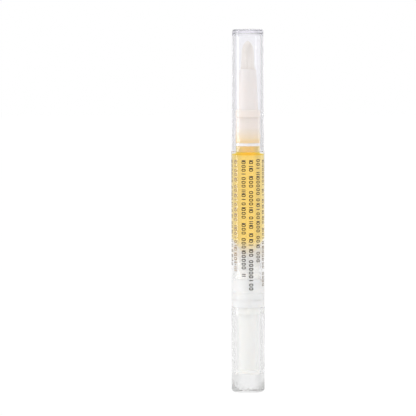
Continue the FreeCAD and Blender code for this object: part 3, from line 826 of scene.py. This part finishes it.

# Print: rows of plain loops and dashes along the barrel, in groups of uneven length, which spell nothing.
# Each outline is a superellipse in angle and height, laid on the barrel and a hair proud of it.
# Loops and dashes have half their height and half their width, and each row has its angle in degrees,
# the height at which it ends, and how far its ink is paled towards light brown. On the row at -49.5 degrees,
# under the left soft box's streak, the paling is a painted highlight.
printSizes = {"radius": barrelSizes["radius"], "proud": 0.012, "sunk": 0.02, "start": 84.6, "gap": 0.34,
              "space": 0.95, "group": (3, 10), "corners": 10, "power": 0.6, "loop": (0.52, 0.78),
              "line": 0.29, "dash": (0.17, 0.8), "loopShare": 0.58, "seed": 5, "rows": (
                  (-76, 46.0, 0.2), (-49.5, 44.4, 0.75), (-15.8, 42.6, 0.0), (10.5, 37.5, 0.0),
                  (37.4, 46.9, 0.1), (65, 38.0, 0.35))}


# Angle, height, kind and paling of every mark, from the top of each row down
def markPlaces(size):
    chance = np.random.default_rng(size["seed"])
    places = []
    for turn, last, paling in size["rows"]:
        height = size["start"]
        while height > last:
            for mark in range(int(chance.integers(*size["group"]))):
                isLoop = chance.random() < size["loopShare"]
                if height > last:
                    places.append((np.radians(turn), height, isLoop, paling))
                height -= 2 * size["loop" if isLoop else "dash"][0] + size["gap"]
            height -= size["space"]
    return np.array(places)


# Superellipse round every place: cosine and sine, each raised to the same power with its sign kept
def markRing(size, places, along, across, lift):
    step = evenAngles(size["corners"])
    across = across * np.sign(np.cos(step)) * np.abs(np.cos(step)) ** size["power"]
    along = along * np.sign(np.sin(step)) * np.abs(np.sin(step)) ** size["power"]
    angle = places[:, :1] + across / size["radius"]
    radius = size["radius"] + lift
    return np.stack([radius * np.sin(angle), -radius * np.cos(angle), places[:, 1:2] + along], axis=-1) * mm


# A loop is four rings, closed into a tube, and a dash is two rings with lids
def makePrint(size):
    places = markPlaces(size)
    loops, dashes = places[places[:, 2] == 1], places[places[:, 2] == 0]
    proud, sunk, corners = size["proud"], -size["sunk"], size["corners"]
    along, across = size["loop"]
    inner = (along - size["line"], across - size["line"])
    rings = np.stack([
        markRing(size, loops, along, across, sunk),
        markRing(size, loops, along, across, proud),
        markRing(size, loops, *inner, proud),
        markRing(size, loops, *inner, sunk),
    ], axis=1)
    plates = np.stack([
        markRing(size, dashes, *size["dash"], sunk),
        markRing(size, dashes, *size["dash"], proud),
    ], axis=1)
    perLoop, perDash = 4 * corners, 2 * corners
    index = np.arange(perLoop).reshape(4, corners)
    beside, above = np.roll(index, -1, axis=1), np.roll(index, -1, axis=0)
    loopCells = np.stack([index, beside, np.roll(above, -1, axis=1), above], axis=-1).reshape(-1, 4)
    loopCells = loopCells + (np.arange(len(loops)) * perLoop)[:, None, None]
    first = len(loops) * perLoop + (np.arange(len(dashes)) * perDash)[:, None, None]
    dashCells = np.stack([index[0], beside[0], beside[1], index[1]], axis=-1) + first
    lids = np.stack([index[0][::-1], index[1]]) + first
    mesh = bpy.data.meshes.new("printMarks")
    mesh.from_pydata(np.concatenate([rings.reshape(-1, 3), plates.reshape(-1, 3)]).tolist(), [],
                     loopCells.reshape(-1, 4).tolist() + dashCells.reshape(-1, 4).tolist()
                     + lids.reshape(-1, corners).tolist())
    # How far each mark's ink is paled, which on the row under the left soft box's streak is a painted
    # highlight
    carry(mesh, "paling", np.concatenate([np.repeat(loops[:, 3], perLoop), np.repeat(dashes[:, 3], perDash)]))
    addPiece(smoothed(mesh), [inkSkin], "barrel")


makePrint(printSizes)

# Ratchet ring: a plain band outside and a saw of teeth inside. From its steep side each gap between two
# teeth runs straight back to the tooth's tip, which in angle and radius is root * tip * sin(ramp) over
# tip * sin(ramp - angle) + root * sin(angle).
ratchetSizes = {"outer": barrelSizes["seat"] - slip, "root": 4.67, "tip": 4.32, "foot": 31.07, "top": 33.57,
                "teeth": 12, "rampShare": 0.92, "sides": 180}


def makeRatchet(size):
    spacing = wholeTurn / size["teeth"]
    ramp = spacing * size["rampShare"]
    angle = roundAngles(size["sides"], evenAngles(size["teeth"]))
    along = angle % spacing
    root, tip = size["root"], size["tip"]
    straight = root * tip * np.sin(ramp) / (tip * np.sin(ramp - along) + root * np.sin(along))
    saw = np.where(along < ramp, straight, tip)
    band = np.full(len(angle), size["outer"])
    height = np.array([size["foot"], size["top"], size["top"], size["foot"]])
    grid = turnedGrid(np.stack([band, band, saw, saw]), height, angle)
    mesh = gridMesh("ratchetSaw", grid, closedRows=True)
    addPiece(mesh, [nutSkin], "barrel", "ratchet_ring")


makeRatchet(ratchetSizes)

# Inner pieces that keep their CAD shape
keptNodes = {"feed_pipe": whiteSkin, "pipe_joint": milkySkin, "spindle": whiteSkin, "drive_nut": nutSkin,
             "click_ring": whiteSkin}
for nodeName, material in keptNodes.items():
    for materialSlot in cadNodes[nodeName].material_slots:
        materialSlot.material = material
print("finished", len(keptNodes), "CAD nodes")

# Floor and surroundings: plain and white to the camera. What the plastic shows of them is white straight
# behind, greyer half way to the sides, and darker in front, where the camera stands. Each tone has a
# bearing in degrees, with 0 behind the pen and 90 to its right. On the floor the tones are fainter near
# the pen. The floor's size and the reach of its tones are in metres, and its drop is in mm.
stageLook = {"floorSize": 4.0, "floorDrop": 0.1, "floorColor": (0.9, 0.9, 0.9), "floorWhite": 0.95,
             "floorGlow": 1.018, "ambient": (0.85, 0.85, 0.85), "nearTone": 0.7, "toneReach": (0.95, 1.2),
             "tones": ((-180, 0.85), (-95, 0.9), (-70, 1.0), (-48, 0.82), (-26, 0.72), (-10, 1.0),
                       (10, 1.0), (30, 0.78), (52, 0.72), (75, 0.95), (95, 0.9), (180, 0.85))}


# Tone of the bearing in which a place lies, on a ramp with the bearing straight behind in its middle
def bearingTone(tree, place, look):
    straightBehind = 0.5
    split = tree.nodes.new("ShaderNodeSeparateXYZ")
    tree.links.new(place, split.inputs[0])
    bearing = worked(tree, "ARCTAN2", split.outputs["X"], split.outputs["Y"])
    stops = [(degrees / 360 + straightBehind, (tone, tone, tone)) for degrees, tone in look["tones"]]
    return colorRamp(tree, scaled(tree, bearing, 1 / wholeTurn, straightBehind), stops, "EASE")


# 1 for rays from the camera, and for those that reach here by reflection or through something clear
def seenDirectly(tree, path):
    mirrored = worked(tree, "MAXIMUM", path.outputs["Is Glossy Ray"], path.outputs["Is Transmission Ray"])
    return worked(tree, "MAXIMUM", path.outputs["Is Camera Ray"], mirrored)


def makeFloor(look):
    half, drop = look["floorSize"] / 2, -look["floorDrop"] * mm
    corners = [(-half, -half, drop), (half, -half, drop), (half, half, drop), (-half, half, drop)]
    mesh = bpy.data.meshes.new("floor")
    mesh.from_pydata(corners, [], [(0, 1, 2, 3)])
    floor = bpy.data.objects.new("floor", mesh)
    bpy.context.scene.collection.objects.link(floor)
    material, tree, shader = newMaterial("floorWhite")
    setInputs(tree, shader, {"Base Color": look["floorColor"], "Roughness": 1, "Specular IOR Level": 0})
    path = tree.nodes.new("ShaderNodeLightPath")
    place = tree.nodes.new("ShaderNodeTexCoord").outputs["Object"]
    away = tree.nodes.new("ShaderNodeVectorMath")
    away.operation = "LENGTH"
    tree.links.new(place, away.inputs[0])
    toned = ranged(tree, away.outputs["Value"], look["nearTone"], 1, *look["toneReach"])
    tone = blended(tree, toned, white, bearingTone(tree, place, look))
    shown = blended(tree, path.outputs["Is Camera Ray"], tone, white)
    glow = tree.nodes.new("ShaderNodeEmission")
    setInputs(tree, glow, {"Color": shown, "Strength": look["floorGlow"]})
    share = scaled(tree, seenDirectly(tree, path), look["floorWhite"])
    surface = mixedSurface(tree, share, shader.outputs[0], glow.outputs[0])
    tree.links.new(surface, outlet(tree, "Surface"))
    mesh.materials.append(material)


def makeSurroundings(look):
    world = bpy.data.worlds.new("studio")
    bpy.context.scene.world = world
    world.use_nodes = True
    tree = world.node_tree
    tree.nodes.clear()
    output = tree.nodes.new("ShaderNodeOutputWorld")
    background = tree.nodes.new("ShaderNodeBackground")
    path = tree.nodes.new("ShaderNodeLightPath")
    place = tree.nodes.new("ShaderNodeTexCoord").outputs["Generated"]
    lit = blended(tree, seenDirectly(tree, path), look["ambient"], bearingTone(tree, place, look))
    shown = blended(tree, path.outputs["Is Camera Ray"], lit, white)
    tree.links.new(shown, background.inputs["Color"])
    tree.links.new(background.outputs[0], output.inputs["Surface"])


makeFloor(stageLook)
makeSurroundings(stageLook)
print("floor and surroundings made")

# Soft boxes: place, point aimed at, width, height in metres, and power in watts
lampLook = {
    "leftBox": ((-0.50, -0.06, 0.25), (0, 0, 0.10), 0.08, 0.60, 0.75),
    "frontBox": ((0.25, -0.70, 0.60), (0, 0, 0.07), 0.50, 0.50, 1.2),
    "rightBox": ((0.55, 0.15, 0.30), (0, 0, 0.07), 0.10, 0.50, 0.2),
}


# Puts a thing in its place and turns it towards the target, with its own top upwards
def aimAt(thing, place, target):
    thing.location = place
    thing.rotation_euler = (Vector(target) - Vector(place)).to_track_quat("-Z", "Y").to_euler()


for lampName, (place, target, width, height, power) in lampLook.items():
    lamp = bpy.data.lights.new(lampName, "AREA")
    lamp.shape = "RECTANGLE"
    lamp.size = width
    lamp.size_y = height
    lamp.energy = power
    softBox = bpy.data.objects.new(lampName, lamp)
    bpy.context.scene.collection.objects.link(softBox)
    aimAt(softBox, place, target)
print("lamps placed")

# Camera: a long lens a little above the pen's middle, which puts the pen right of the picture's middle.
# Places are in metres, the lens and the sensor in mm, and the roll in degrees.
cameraLook = {"side": -0.01451, "distance": 1.2, "height": 0.161, "aim": 0.06705, "nearest": 0.01,
              "lens": 286.6, "sensor": 36, "roll": -0.13}


def makeCamera(look):
    data = bpy.data.cameras.new("photoCamera")
    data.lens = look["lens"]
    data.sensor_width = look["sensor"]
    data.clip_start = look["nearest"]
    camera = bpy.data.objects.new("photoCamera", data)
    bpy.context.scene.collection.objects.link(camera)
    aimAt(camera, (look["side"], -look["distance"], look["height"]), (look["side"], 0, look["aim"]))
    camera.rotation_euler.rotate_axis("Z", np.radians(look["roll"]))
    bpy.context.scene.camera = camera


makeCamera(cameraLook)
bpy.context.scene.view_settings.view_transform = "Standard"
print("camera placed")

# Light may bounce often enough to cross all the clear walls, one inside another
bounceLook = {"max_bounces": 32, "diffuse_bounces": 16, "glossy_bounces": 16, "transmission_bounces": 24,
              "transparent_max_bounces": 32}
for bounceName, bounceLimit in bounceLook.items():
    setattr(bpy.context.scene.cycles, bounceName, bounceLimit)

print("bounce limits set")
